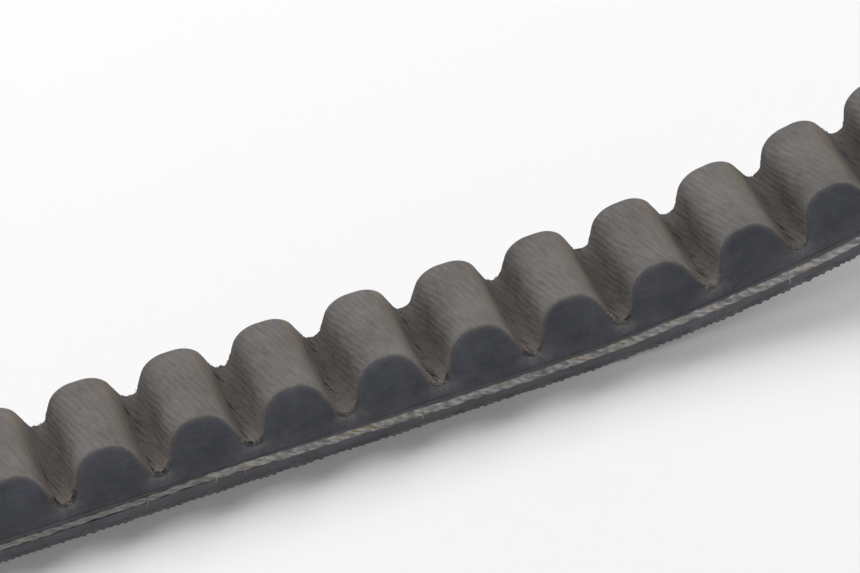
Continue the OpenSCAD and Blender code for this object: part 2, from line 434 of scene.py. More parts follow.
@dataclass
class MeshBuffer:
    """Collects points, faces and their attributes before they become one mesh."""

    points: list[Array] = field(default_factory=list)
    faces: list[tuple[int, ...]] = field(default_factory=list)
    slots: list[int] = field(default_factory=list)
    attributes: dict[str, list[Array]] = field(default_factory=dict)
    count: int = 0

    def rings(self, rings: Array, slot: Array | int = 0, **attributes: Array) -> None:
        """Adds a closed skin through rings of points, with a cap at each end.

        Args:
            rings: Points as rings by points by three.
            slot: Material slot, one for all faces or one for each side of a ring.
            attributes: Point attributes as rings by points by three, or one for all points.
        """
        many, around = rings.shape[:2]
        index = np.arange(many * around).reshape(many, around) + self.count
        following = np.roll(index, -1, axis=1)
        quads = np.stack([index[:-1], following[:-1], following[1:], index[1:]], -1).reshape(-1, 4)
        self.faces += [tuple(q) for q in quads.tolist()]
        self.slots += np.tile(np.broadcast_to(slot, (around,)), many - 1).tolist()
        self.faces += [tuple(index[0, ::-1].tolist()), tuple(index[-1].tolist())]
        self.slots += [int(np.max(slot))] * 2
        self.points.append(rings.reshape(-1, 3))
        for name, values in attributes.items():
            values = np.broadcast_to(values, rings.shape).reshape(-1, 3)
            self.attributes.setdefault(name, []).append(values)
        self.count += many * around

    def build(self, name: str, materials: list[bpy.types.Material], crease: float) -> bpy.types.Object:
        """Makes the object.

        Args:
            name: Name of the piece.
            materials: One material for each slot.
            crease: Angle in degrees over which an edge stays sharp.

        Returns:
            The new object, linked to the scene.
        """
        mesh = bpy.data.meshes.new(name)
        mesh.from_pydata(np.concatenate(self.points), [], self.faces)
        for material in materials:
            mesh.materials.append(material)
        mesh.polygons.foreach_set("material_index", np.array(self.slots, np.int32))
        for key, values in self.attributes.items():
            attribute = mesh.attributes.new(key, "FLOAT_VECTOR", "POINT")
            attribute.data.foreach_set("vector", np.concatenate(values).astype(np.float32).ravel())
        mesh.shade_smooth()
        mesh.set_sharp_from_angle(angle=math.radians(crease))
        mesh.update()
        piece = bpy.data.objects.new(name, mesh)
        bpy.context.collection.objects.link(piece)
        return piece


def linear(code: str) -> tuple[float, float, float, float]:
    """Turns an sRGB hex colour into linear light.

    Args:
        code: Six hex digits after a leading mark.

    Returns:
        Red, green, blue and an alpha of 1.
    """
    parts = [int(code.lstrip("#")[i:i + 2], 16) / 255 for i in (0, 2, 4)]
    red, green, blue = (p / 12.92 if p <= 0.04045 else ((p + 0.055) / 1.055) ** 2.4 for p in parts)
    return red, green, blue, 1.0


def add(tree: Tree, kind: str, inputs: dict | list | tuple = (), out: int | str | None = 0,
        stops: Iterable[tuple[float, str]] = (), **settings: str) -> Socket | bpy.types.Node:
    """Adds a node with its settings and links.

    Args:
        tree: Node tree of a material or world.
        kind: Type name of the node, without its prefix.
        inputs: For each input, in order or by name or number, a socket to link from, or a hex colour or
            value to set.
        out: Output to give, by name or number, or none to give the node itself.
        stops: Positions and hex colours of a colour ramp, in order.
        settings: Properties of the node.

    Returns:
        The output, or the node.
    """
    node = tree.nodes.new("ShaderNode" + kind)
    for key, value in settings.items():
        setattr(node, key, value)
    for number, (position, code) in enumerate(stops):
        bar = node.color_ramp.elements
        stop = bar[number] if number < len(bar) else bar.new(position)
        stop.position, stop.color = position, linear(code)
    for key, value in inputs.items() if isinstance(inputs, dict) else enumerate(inputs):
        if isinstance(value, Socket):
            tree.links.new(value, node.inputs[key])
        else:
            node.inputs[key].default_value = linear(value) if isinstance(value, str) else value
    return node if out is None else node.outputs[out]


def new_material(name: str) -> tuple[bpy.types.Material, Tree]:
    """Makes a material with an empty node tree.

    Args:
        name: Name of the material.

    Returns:
        The material and its node tree.
    """
    material = bpy.data.materials.new(name)
    material.use_nodes = True
    material.node_tree.nodes.clear()
    return material, material.node_tree


def looked_at(tree: Tree) -> Socket:
    """Adds the test for the rays that see the background, straight, in a reflection or through glass.

    Args:
        tree: Node tree of a material or world.

    Returns:
        A socket that is 1 for those rays and 0 for the ones that light the belt.
    """
    rays = add(tree, "LightPath", out=None).outputs
    seen = rays["Is Camera Ray"]
    for kind in ("Is Glossy Ray", "Is Transmission Ray"):
        seen = add(tree, "Math", [seen, rays[kind]], operation="MAXIMUM")
    return seen


@dataclass(frozen=True)
class Grain:
    """A noise pattern of a finish: the size of a blob in millimetres, and how finely it breaks up.

    An infinite size leaves that coordinate out.
    """

    size: Triple
    detail: float = 2.0
    breakup: float = 0.5


Coat = tuple[Socket, Socket | str]
Paint = tuple[Socket, list[Coat], Socket | None]


@dataclass(frozen=True)
class Finish:
    """What all finishes share: the attribute they lie on, and how rough, shiny and deep their surface is.

    A finish paints with the nodes of its tree, the coordinates in its attribute and the noise patterns among
    its fields. It gives its ground colour, the coats over that as shares and colours, and its height.
    """

    name: str = ""
    place: str = "weave"
    roughness: float = 0.9
    specular: float = 0.5
    bump: float = 0.0
    relief: float = 0.05

    def paint(self, tree: Tree, place: Socket, grains: dict[str, Socket]) -> Paint:
        """Makes what the finish shows."""
        raise NotImplementedError

    def build(self) -> bpy.types.Material:
        """Makes the material from its noise patterns, its coats of colour and its height.

        Returns:
            The new material.
        """
        material, tree = new_material(self.name)
        place = add(tree, "Attribute", out="Vector", attribute_name=self.place)
        grains = {}
        for key, grain in vars(self).items():
            if isinstance(grain, Grain):
                spot = add(tree, "Mapping", {"Vector": place, "Scale": [1 / size for size in grain.size]})
                grains[key] = add(tree, "TexNoise", {
                    "Vector": spot, "Scale": 1.0, "Detail": grain.detail, "Roughness": grain.breakup})
        colour, coats, height = self.paint(tree, place, grains)
        for share, tone in coats:
            colour = add(tree, "Mix", {0: share, 6: colour, 7: tone}, 2, data_type="RGBA")
        inputs = {"Base Color": colour, "Roughness": self.roughness, "Specular IOR Level": self.specular}
        if height:
            inputs["Normal"] = add(tree, "Bump", {
                "Strength": self.bump, "Distance": self.relief * MM, "Height": height})
        add(tree, "OutputMaterial", {"Surface": add(tree, "BsdfPrincipled", inputs)}, None)
        return material


@dataclass(frozen=True)
class FacingCloth(Finish):
    """Cotton cloth soaked in rubber, woven, laid on the bias and moulded over the cogs."""

    # Gives the eye a matte brown-grey with short streaks along the threads, darker into the valleys as
    # painted shade over the creased cloth, and darkest at their roots, as painted shade. One side of each cog
    # carries a
    # paler, browner band: rub wear, and painted light on the side that faces the brighter sky. The cloth is
    # cracked at its foot. Real threads lie about 0.4 mm apart, which is too fine to show, so they are drawn
    # almost twice as coarse.
    name: str = "rubber_soaked_bias_cotton"
    specular: float = 0.2
    bump: float = 0.22
    thread: float = 0.75
    thread_wobble: float = 14.0
    thread_tone: float = 0.04
    streak: Grain = Grain((0.6, 2.8, 1.0), 4.0, 0.6)
    patch: Grain = Grain((9.0, 9.0, 9.0), 4.0)
    patch_share: float = 0.4
    fuzz: Grain = Grain((0.35, 0.35, 0.35))
    fuzz_share: float = 0.3
    crack: Grain = Grain((0.34, 3.2, 1.0))
    crack_range: Range = (0.54, 0.62)
    crumb: Grain = Grain((0.55, 0.55, 0.55), 3.0)
    crumb_range: Range = (0.56, 0.66)
    crumbly_range: Range = (0.48, 0.6)
    tone_range: Range = (0.36, 0.64)
    top: Tone = ("#5e5b59", "#7c7977")
    # Valley tone: the creased cloth, darkened as painted shade.
    valley: Tone = ("#4b4745", "#736f6b")
    fringe: Tone = ("#605b57", "#88817a")
    # Painted shade at the roots of the valleys.
    root: str = "#45413f"
    # Paler, browner band on each cog's falling side: rub wear, and painted light on the side facing the
    # brighter sky.
    worn: str = "#84786a"
    slit: str = "#242220"
    valley_shade_range: Range = (0.0, 0.6)
    root_shade_range: Range = (0.86, 1.0)
    root_shade_share: float = 0.6
    streak_height: float = 2.0
    slit_height: float = -3.0

    def paint(self, tree: Tree, place: Socket, grains: dict[str, Socket]) -> Paint:
        """Makes the streaked cloth, the painted shade of its valleys and roots, its frayed edge, its sides
        with rub wear and painted light, and its cracks.

        Args:
            tree: Node tree of the material.
            place: Coordinates across and along the threads.
            grains: The noise patterns.

        Returns:
            The ground colour, the coats over it and the height.
        """
        zone, cut = (add(tree, "Attribute", out="Vector", attribute_name=key) for key in ("zone", "cut"))
        depth, rubbed_and_lit, slit = add(tree, "SeparateXYZ", [zone], None).outputs
        over = add(tree, "SeparateXYZ", [place], "X")
        wobble = add(tree, "Math", [grains["patch"], self.thread_wobble], operation="MULTIPLY")
        phase = add(tree, "Math", [over, 2 * math.pi / self.thread, wobble], operation="MULTIPLY_ADD")
        threads = add(tree, "Math", [phase], operation="SINE")
        blotch = add(tree, "Math", [threads, self.thread_tone, grains["streak"]], operation="MULTIPLY_ADD")
        for share, key in ((self.fuzz_share, "fuzz"), (self.patch_share, "patch")):
            blotch = add(tree, "Mix", {0: share, 2: blotch, 3: grains[key]})
        top, low, fringe = (
            add(tree, "ValToRGB", [blotch], stops=zip(self.tone_range, tones))
            for tones in (self.top, self.valley, self.fringe))
        # Painted shade: the valley tone deepens into the valleys, and the root colour lies at their roots.
        valley_shade, root_shade = (
            add(tree, "MapRange", [depth, *reach, 0.0, most], interpolation_type="SMOOTHSTEP")
            for reach, most in ((self.valley_shade_range, 1.0), (self.root_shade_range, self.root_shade_share)))
        cracks, crumbs, crumbly = (
            add(tree, "MapRange", [grains[key], *reach])
            for key, reach in (
                ("crack", self.crack_range), ("crumb", self.crumb_range), ("patch", self.crumbly_range)))
        crumbled = add(tree, "Math", [crumbs, crumbly], operation="MULTIPLY")
        broken = add(tree, "Math", [cracks, crumbled], operation="MAXIMUM")
        gap = add(tree, "Math", [broken, slit], operation="MULTIPLY")
        coats = [
            (valley_shade, low),
            (root_shade, self.root),
            (add(tree, "SeparateXYZ", [cut], "Z"), fringe),
            # Rub wear with painted light on the falling side of each cog.
            (add(tree, "Math", [rubbed_and_lit, grains["streak"]], operation="MULTIPLY"), self.worn),
            (gap, self.slit),
        ]
        height = threads
        for part, lift in ((grains["streak"], self.streak_height), (gap, self.slit_height)):
            height = add(tree, "Math", [part, lift, height], operation="MULTIPLY_ADD")
        return top, coats, height


@dataclass(frozen=True)
class CutThreads(Finish):
    """Cotton threads of the facing, cut through along the flank and smeared into its rubber."""

    # Gives the eye a pale, dull line over each cog, and a darker, ragged one in the valleys. The ends lie as
    # far apart as real threads, about 0.4 mm, and the clumps are drawn coarser, or they wouldn't show.
    name: str = "cut_ends_of_cotton"
    roughness: float = 0.95
    specular: float = 0.15
    bump: float = 0.4
    ends: Grain = Grain((0.4, 0.4, 0.4))
    clumps: Grain = Grain((0.55, 0.55, 0.55), 3.0, 0.65)
    tip: Stops = ((0.4, "#a09d99"), (0.6, "#aeaba7"))
    valley: str = "#7c7772"
    pale: str = "#a8a299"
    pale_range: Range = (0.5, 0.64)
    rubber: str = "#55565c"
    rubber_range: Range = (0.2, 1.1)
    most: float = 0.75
    sway_range: Range = (0.3, 0.7)
    sway: float = 0.5

    def paint(self, tree: Tree, place: Socket, grains: dict[str, Socket]) -> Paint:
        """Makes the thread ends, darker in the valleys, with pale clumps, running out into the rubber.

        Args:
            tree: Node tree of the material.
            place: Coordinates across and along the threads.
            grains: The noise patterns.

        Returns:
            The ground colour, the coats over it and the height.
        """
        cut = add(tree, "Attribute", out="Vector", attribute_name="cut")
        valley_darkening, inner, frayed = add(tree, "SeparateXYZ", [cut], None).outputs
        clumped = add(tree, "MapRange", [grains["clumps"], *self.pale_range, 0.0, self.most])
        sway = add(tree, "MapRange", [grains["clumps"], *self.sway_range, self.sway, -self.sway])
        level = add(tree, "Math", [sway, frayed, inner], operation="MULTIPLY_ADD")
        sunk = add(tree, "MapRange", [level, *self.rubber_range, 0.0, self.most],
                   interpolation_type="SMOOTHSTEP")
        coats = [
            (valley_darkening, self.valley),
            (add(tree, "Math", [clumped, frayed], operation="MULTIPLY"), self.pale),
            (sunk, self.rubber),
        ]
        return add(tree, "ValToRGB", [grains["ends"]], stops=self.tip), coats, grains["ends"]


@dataclass(frozen=True)
class GroundRubber(Finish):
    """Chloroprene rubber, cut and ground along the flanks."""

    # Gives the eye a matte, dark, even grey with faint marks along the cut, a pale haze of dust by the
    # facing, paler towards the cord, and a dark line over the cord that is grime and painted shade in the
    # groove there.
    # Real grinding marks are finer than 0.1 mm, and these are drawn coarser to show.
    name: str = "ground_chloroprene_rubber"
    place: str = "flank"
    roughness: float = 0.7
    specular: float = 0.35
    bump: float = 0.35
    marks: Grain = Grain((3.0, 0.25, math.inf), 3.0)
    marks_share: float = 0.4
    cloud: Grain = Grain((4.0, 4.0, math.inf), 4.0, 0.65)
    grit: Grain = Grain((0.3, 0.3, math.inf))
    fleck: Grain = Grain((0.8, 0.8, math.inf), 4.0, 0.7)
    fleck_range: Range = (0.3, 0.7)
    fleck_share: Range = (0.35, 1.65)
    tone_range: Range = (0.54, 0.86)
    tone: Tone = ("#4a4c53", "#5f6169")
    haze: str = "#919090"
    # Grime with painted shade, for the dark line over the cord.
    grime_shade_colour: str = "#2c2c30"

    def paint(self, tree: Tree, place: Socket, grains: dict[str, Socket]) -> Paint:
        """Makes the ground rubber, with haze where the third coordinate is over 0, and a grimy line with
        painted shade where under.

        Args:
            tree: Node tree of the material.
            place: Lengths and heights on the flank, and the haze.
            grains: The noise patterns.

        Returns:
            The ground colour, the coats over it and the height.
        """
        haze = add(tree, "SeparateXYZ", [place], "Z")
        mixed = add(tree, "Math", [grains["marks"], self.marks_share, grains["cloud"]],
                    operation="MULTIPLY_ADD")
        flecked = add(tree, "MapRange", [grains["fleck"], *self.fleck_range, *self.fleck_share])
        coats = [
            (add(tree, "Math", [haze, flecked], operation="MULTIPLY"), self.haze),
            (add(tree, "Math", [haze, -1.0], operation="MULTIPLY"), self.grime_shade_colour),
        ]
        ground = add(tree, "ValToRGB", [mixed], stops=zip(self.tone_range, self.tone))
        return ground, coats, add(tree, "Math", [grains["marks"], grains["grit"]], operation="ADD")


@dataclass(frozen=True)
class TwistedCord(Finish):
    """Polyester cord of two plies, dipped in resin, twisted, and cut open along the flank."""

    # Gives the eye a pale band, white to gold along its length, with painted highlights on its fibres, dirt
    # between them, and dirt with painted shade in the grooves between the plies.
    # Real fibres are about 0.02 mm thick, and these are drawn as strands of half a millimetre.
    name: str = "resin_dipped_polyester_cord"
    place: str = "lay"
    roughness: float = 0.65
    bump: float = 0.6
    relief: float = 0.06
    tint: Grain = Grain((6.0, 1.0, math.inf), 3.0)
    fibres: Grain = Grain((1.1, 0.46, math.inf))
    tints: Stops = ((0.30, "#a3a2a0"), (0.45, "#b9b7b4"), (0.58, "#cfccc7"), (0.70, "#c8ae84"))
    # Painted highlights on the fibres.
    cord_highlight: str = "#e9e8e5"
    cord_highlight_range: Range = (0.5, 0.62)
    cord_highlight_share: float = 0.85
    # Dirt between the fibres, and dirt with painted shade in the grooves between the plies.
    dirt_and_shade: str = "#55524f"
    dirt_range: Range = (0.36, 0.5)
    dirt_share: float = 0.5

    def paint(self, tree: Tree, place: Socket, grains: dict[str, Socket]) -> Paint:
        """Makes the tinted cord, with painted highlights on its fibres, soil between them and soil with
        painted shade between the plies.

        Args:
            tree: Node tree of the material.
            place: Coordinates along and across the plies, and the soil and painted shade in the grooves.
            grains: The noise patterns.

        Returns:
            The ground colour, the coats over it and the height.
        """
        groove_dirt_and_shade = add(tree, "SeparateXYZ", [place], "Z")
        between = add(tree, "MapRange", [grains["fibres"], *self.dirt_range, self.dirt_share, 0.0])
        glint = add(tree, "MapRange", [grains["fibres"], *self.cord_highlight_range, 0.0, self.cord_highlight_share])
        # Painted highlights where the fibres' noise is high.
        coats = [
            (glint, self.cord_highlight),
            (add(tree, "Math", [between, groove_dirt_and_shade], operation="MAXIMUM"), self.dirt_and_shade),
        ]
        return add(tree, "ValToRGB", [grains["tint"]], stops=self.tints), coats, grains["fibres"]


@dataclass(frozen=True)
class BackCloth(Finish):
    """Cotton cloth soaked in rubber, woven, and calendered flat on the back."""

    # Gives the eye a dark grey with a fine net of crossing threads, and a frayed cut edge painted paler, as
    # painted light against the shade by the floor. The threads are drawn half as coarse again as real ones,
    # which wouldn't show.
    name: str = "rubber_soaked_back_cloth"
    roughness: float = 0.85
    specular: float = 0.25
    bump: float = 0.5
    relief: float = 0.06
    thread: float = 0.6
    thread_tone: float = 0.12
    cloud: Grain = Grain((3.0, 3.0, 3.0), 4.0)
    tone_range: Range = (0.32, 0.68)
    flat: Tone = ("#47474b", "#5d5c61")
    # Frayed cut edge, painted paler as painted light against the shade by the floor.
    edge: Tone = ("#77757a", "#959398")

    def paint(self, tree: Tree, place: Socket, grains: dict[str, Socket]) -> Paint:
        """Makes the woven cloth and its frayed edge, which is painted paler as painted light.

        Args:
            tree: Node tree of the material.
            place: Coordinates across the two sets of threads, and 1 on the frayed edge.
            grains: The noise patterns.

        Returns:
            The ground colour, the coats over it and the height.
        """
        *sets, frayed = add(tree, "SeparateXYZ", [place], None).outputs
        turns = [add(tree, "Math", [x, 2 * math.pi / self.thread], operation="MULTIPLY") for x in sets]
        waves = [add(tree, "Math", [turn], operation="SINE") for turn in turns]
        woven = add(tree, "Math", waves, operation="MULTIPLY")
        mixed = add(tree, "Math", [woven, self.thread_tone, grains["cloud"]], operation="MULTIPLY_ADD")
        flat, edge = (
            add(tree, "ValToRGB", [mixed], stops=zip(self.tone_range, tones))
            for tones in (self.flat, self.edge))
        return flat, [(frayed, edge)], woven


@dataclass(frozen=True)
class LooseFibre(Finish):
    """Cotton fibres pulled out of the cut edge of the facing."""

    # Gives the eye dull, off-white fluff, dirtier in places.
    name: str = "loose_cotton_fibre"
    soil: Grain = Grain((1 / 1.3, 1 / 1.3, 1 / 1.3))
    tones: Stops = ((0.35, "#87827a"), (0.65, "#cdc7bc"))

    def paint(self, tree: Tree, place: Socket, grains: dict[str, Socket]) -> Paint:
        """Makes the soiled fibre, with no coats and no height."""
        return add(tree, "ValToRGB", [grains["soil"]], stops=self.tones), [], None


@dataclass(frozen=True)
class MatteLaminate:
    """Laminate of the floor, pressed with a matte face."""

    # Gives the eye an even, nearly white ground for the belt's soft shadow. The closed loop shades the floor
    # under its lifted ends more than an open stretch of belt does, so the floor glows a little there, but
    # only for the rays that look at it. The glow's place and reach are in metres, the cloud in millimetres.
    name: str = "matte_white_laminate"
    roughness: float = 0.8
    cloud: float = 1000 / 3
    tones: Stops = ((0.3, "#f9f9f9"), (0.7, "#fcfcfc"))
    glow: float = 0.36
    glow_place: Triple = (0.14, 0.0, 0.0)
    glow_squash: Triple = (1.0, 0.5, 0.0)
    glow_reach: Range = (0.085, 0.02)

    def build(self) -> bpy.types.Material:
        """Makes the material.

        Returns:
            The new material.
        """
        material, tree = new_material(self.name)
        place = add(tree, "TexCoord", out="Object")
        cloud = add(tree, "TexNoise", {"Vector": place, "Scale": 1 / (self.cloud * MM), "Detail": 2.0})
        colour = add(tree, "ValToRGB", [cloud], stops=self.tones)
        matte = add(tree, "BsdfPrincipled", {"Base Color": colour, "Roughness": self.roughness})
        mirrored = add(tree, "VectorMath", [place], operation="ABSOLUTE")
        squashed = add(tree, "VectorMath", [mirrored, self.glow_squash], operation="MULTIPLY")
        away = add(tree, "VectorMath", [squashed, self.glow_place], "Value", operation="DISTANCE")
        under_ends = add(tree, "MapRange", [away, *self.glow_reach, 0.0, self.glow],
                         interpolation_type="SMOOTHSTEP")
        share = add(tree, "Math", [looked_at(tree), under_ends], operation="MULTIPLY")
        glow = add(tree, "Emission", {"Color": colour, "Strength": 1.0})
        both = add(tree, "MixShader", [share, matte, glow])
        add(tree, "OutputMaterial", {"Surface": both}, None)
        return material


@dataclass
class BeltLayer:
    """What all layers share: the loop they follow, and how a finished piece joins the frame."""

    layer: Layer
    line: CogLine
    finishes: list[Finish]
    crease: float = 50.0
    bend_inset: float = 0.09

    def __post_init__(self) -> None:
        """Makes the materials, and keeps the path and the sizes at hand."""
        self.materials = [finish.build() for finish in self.finishes]
        self.path, self.sizes = self.line.path, self.line.path.sizes

    def fill(self, buffer: MeshBuffer, span: Span) -> None:
        """Adds this layer's shape for a span."""
        raise NotImplementedError

    def build(self, span: Span) -> bpy.types.Object:
        """Makes a piece, and joins it to the bodies that it rides on.

        Args:
            span: Stretch of the loop.

        Returns:
            The finished piece.
        """
        buffer = MeshBuffer()
        self.fill(buffer, span)
        piece = buffer.build(f"{self.layer.stem}_{span.name}", self.materials, self.crease)
        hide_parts(f"{self.layer.node}_{span.node_end}")
        if span.next_body is None:
            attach(piece, span.body)
        else:
            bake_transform(piece, span.body, span.next_body, *self._bend_zone(span))
        return piece

    def _bend_zone(self, span: Span) -> tuple[Vector, Vector]:
        """Gives the two points between which a span bends.

        Args:
            span: Stretch of the loop.

        Returns:
            The end at the inner body and the end at the outer one.
        """
        ends = np.array([span.first_cog, span.last_cog], float) * self.sizes.pitch
        if ends[1] <= 0:
            ends = ends[::-1]
        inset = self.bend_inset * (ends[1] - ends[0])
        points = self.path.place(ends + [inset, -inset], np.zeros(2), np.zeros(2))
        return Vector(points[0]), Vector(points[1])


@dataclass
class FacingFabric(BeltLayer):
    """Bias-woven facing over the cogs, creased in the valleys and frayed at its cut edges.

    Zones are ranges of depth, which is 0 on top of a cog and 1 at the root of a valley.
    """

    columns: int = 40
    crowding: float = 1.25
    thread_turn: float = 16.0
    crease_zone: Range = (0.2, 0.7)
    crease_depth: float = 0.016
    crease_shares: Range = (0.5, 0.6)
    ripple_depth: float = 0.012
    crack_depth: float = 0.05
    crack_wander: float = 0.35
    crack_below: Range = (-2.5, -1.5)
    crack_above: Range = (0.6, -0.7)
    crack_patch: Range = (-0.7, 0.0)
    crack_width: Range = (0.1, 0.6)
    edge_worn: float = 0.08
    edge_flat: float = 0.15
    edge_rise: float = 0.6
    tear_depths: Range = (0.2, 0.14)
    tear_in: float = 0.06
    tear_out: float = 0.04
    tear_zone: Range = (0.4, 0.85)
    # Rub wear with painted light: a paler band on the falling side of each cog, which faces the brighter sky,
    # stronger towards the far flank.
    rubbed_lit_start: Range = (0.02, 0.2)
    rubbed_lit_end: Range = (0.45, 0.8)
    rubbed_lit_share: float = 0.8
    rubbed_lit_slope: float = 0.35
    # How soon the cut edge darkens towards a valley, on falling and on rising walls.
    darkening_falling: Range = (0.05, 0.75)
    darkening_rising: Range = (0.0, 0.45)
    fringe_length: float = 2.0
    fringe_width: float = 3.0
    # Share of the pale fringe left on the far flank; the rest is painted shade there.
    shaded_far_fringe: float = 0.1
    tufts: tuple[int, int] = (1, 4)
    tuft_fibres: tuple[int, int] = (5, 16)
    tuft_spread: float = 1.6
    # Parts of a cog's samples: the usual distance of a tuft from the root, and the largest of a fibre.
    tuft_part: int = 18
    fray_part: int = 6
    clump_chance: float = 0.1
    clump_fibres: int = 3
    clump_thick: float = 1.6
    clump_sunk: Range = (0.03, 0.1)
    # Real fibres are about 0.02 mm thick; these are drawn thicker, or they wouldn't show.
    fibre_thick: Range = (0.06, 0.13)
    fibre_size: Range = (0.12, 0.4)
    fibre_inset: Range = (-0.1, 0.4)
    fibre_bend: Range = (-0.5, 0.5)
    fibre_lean: Range = (-0.6, 0.6)
    fibre_sunk: Range = (0.03, 0.35)
    fibre_rise: Range = (-0.3, 0.7)
    fibre_reach: Range = (-0.1, 0.3)
    fibre_taper: float = 0.6
    # Depth at which a clump's fibres take the cloth's colour: the valley tone, which is painted shade.
    clump_shade_zone: Triple = (0.7, 0.0, 0.0)

    def threads(self, along: Array, across: Array) -> Array:
        """Gives coordinates across and along the threads.

        Args:
            along: Places along the flat cloth.
            across: Places across it.

        Returns:
            Two coordinates and a zero for each place.
        """
        turn = math.radians(self.thread_turn)
        over = along * math.cos(turn) + across * math.sin(turn)
        return np.stack([over, along * math.sin(turn) - across * math.cos(turn), np.zeros(over.shape)], -1)

    def relief(self, along: Array, across: Array, depth: Array, from_root: Array) -> tuple[Array, Array]:
        """Gives how far the cloth stands off its smooth line, and where it cracks.

        Args:
            along: Places along the cloth, in millimetres.
            across: Places across the belt.
            depth: 0 on top of a cog, 1 at the root of a valley.
            from_root: Lengths of cloth from the nearest root.

        Returns:
            Lift in millimetres, and a mask that is 1 where the cloth cracks.
        """
        weave = self.threads(along, across)
        over, run = weave[..., 0], weave[..., 1]
        crease, fold = noise(Pattern.CREASE, over, run), noise(Pattern.FOLD, over, run)
        ripple = noise(Pattern.RIPPLE, over, run)
        wander = from_root + self.crack_wander * noise(Pattern.CRACK_WANDER, along, across)
        foot = smooth(*self.crack_below, wander) * smooth(*self.crack_above, wander)
        cracked = foot * smooth(*self.crack_patch, noise(Pattern.CRACK_PATCH, along, across))
        thin = smooth(*self.crack_width, noise(Pattern.CRACK, over, run))
        creased = self.crease_shares[0] * crease + self.crease_shares[1] * fold
        lift = self.crease_depth * smooth(*self.crease_zone, depth) * creased + self.ripple_depth * ripple
        return lift - self.crack_depth * thin * cracked, cracked

    def fill(self, buffer: MeshBuffer, span: Span) -> None:
        """Adds the cloth over one span, with its fibres.

        Args:
            buffer: Mesh that takes the cloth.
            span: Stretch of the loop.
        """
        line, many = self.line, self.columns
        rows = line.rows(span.first_cog, span.last_cog)
        outer, inner, along, depth, falling, from_root = (
            values[rows] for values in (
                line.outer, line.inner, line.along, line.depth, line.falling, line.from_root))
        half = self.sizes.half_width(outer[:, 1])
        share = np.linspace(-1, 1, many)
        share = np.sign(share) * (1 - (1 - np.abs(share)) ** self.crowding)
        fine, wide = self.tear_depths
        torn = fine * noise(Pattern.FINE_TEAR, along) + wide * noise(Pattern.WIDE_TEAR, along)
        torn = (torn - self.tear_in) * smooth(*self.tear_zone, depth)
        across = share[None, :] * (half - self.edge_worn + np.minimum(torn, self.tear_out))[:, None]
        edge = (half - self.edge_worn)[:, None] - np.abs(across)
        lift, cracked = self.relief(along[:, None], across, depth[:, None], from_root[:, None])
        lift = lift * smooth(0.0, self.edge_rise, edge + self.edge_flat)
        skin = outer - inner
        thick = np.linalg.norm(skin, axis=1, keepdims=True)
        over = outer[:, None, :] + (skin / thick)[:, None, :] * lift[..., None]
        base_half = self.sizes.half_width(inner[:, 1])
        base_across = np.stack([base_half, -base_half], -1)
        base = self.path.place(np.repeat(inner[:, :1], 2, 1), np.repeat(inner[:, 1:], 2, 1), base_across)
        rings = np.concatenate([self.path.place(over[..., 0], over[..., 1], across), base], 1)
        width = np.concatenate([across, base_across], 1)
        weave = self.threads(along[:, None], width)
        # Rub wear with painted light on the falling walls.
        band = falling * smooth(*self.rubbed_lit_start, depth) * (1 - smooth(*self.rubbed_lit_end, depth))
        zone = np.zeros(rings.shape)
        zone[..., 0] = depth[:, None]
        zone[..., 1] = band[:, None] * (self.rubbed_lit_share + self.rubbed_lit_slope * width / half[:, None])
        zone[:, :many, 2] = cracked
        cut = np.zeros(rings.shape)
        # The cut edge darkens towards the valleys, sooner on the rising walls.
        valley_darkening = np.where(falling, smooth(*self.darkening_falling, depth), smooth(*self.darkening_rising, depth))
        cut[..., 0] = valley_darkening[:, None]
        cut[:, many:, 1] = 1.0
        # Pale fringe of frayed cloth by the roots; on the far flank it is cut down as painted shade.
        cut[..., 2] = np.exp(-(from_root / self.fringe_length) ** 2)[:, None]
        far_shade = np.where(across > 0, self.shaded_far_fringe, 1.0)
        cut[:, :many, 2] *= far_shade * np.exp(-np.maximum(edge, 0.0) / self.fringe_width)
        slots = np.zeros(rings.shape[1], int)
        slots[many - 1:] = 1
        buffer.rings(rings[:, ::-1], np.roll(slots[::-1], -1), weave=weave[:, ::-1], zone=zone[:, ::-1],
                     cut=cut[:, ::-1])
        self._fray(buffer, span)

    def _fray(self, buffer: MeshBuffer, span: Span) -> None:
        """Adds the fibres pulled out of the cut edges in the valleys.

        Args:
            buffer: Mesh that takes the fibres.
            span: Stretch of the loop.
        """
        random = np.random.default_rng(FIBRE_SEED + span.first_cog)
        for cog in range(span.first_cog, span.last_cog):
            for valley, sign in ((cog, 1), (cog + 1, -1)):
                for side in SIDES:
                    for _ in range(int(random.integers(*self.tufts))):
                        self._tuft(buffer, random, valley, sign, side)

    def _tuft(self, buffer: MeshBuffer, random: np.random.Generator, valley: int, sign: int,
              side: float) -> None:
        """Adds a tuft beside a valley's root: a pinch of pale fibres, or now and then a clump drawn in
        painted valley shade.

        Args:
            buffer: Mesh that takes the fibres.
            random: Source of the tuft's shape.
            valley: Signed number of the valley.
            sign: 1 for the tuft to lie after the root, -1 before it.
            side: -1 for the near flank, 1 for the far flank.
        """
        steps = self.line.steps
        root = (valley + self.sizes.half_loop_cogs) * steps
        start = abs(random.normal(0.0, steps / self.tuft_part)) + 1
        clump = bool(random.random() < self.clump_chance)
        for _ in range(int(random.integers(*self.tuft_fibres)) * (self.clump_fibres if clump else 1)):
            near = int(np.clip(start + random.normal(0.0, self.tuft_spread), 1, steps // self.fray_part))
            self._fibre(buffer, random, root + sign * near, side, clump)

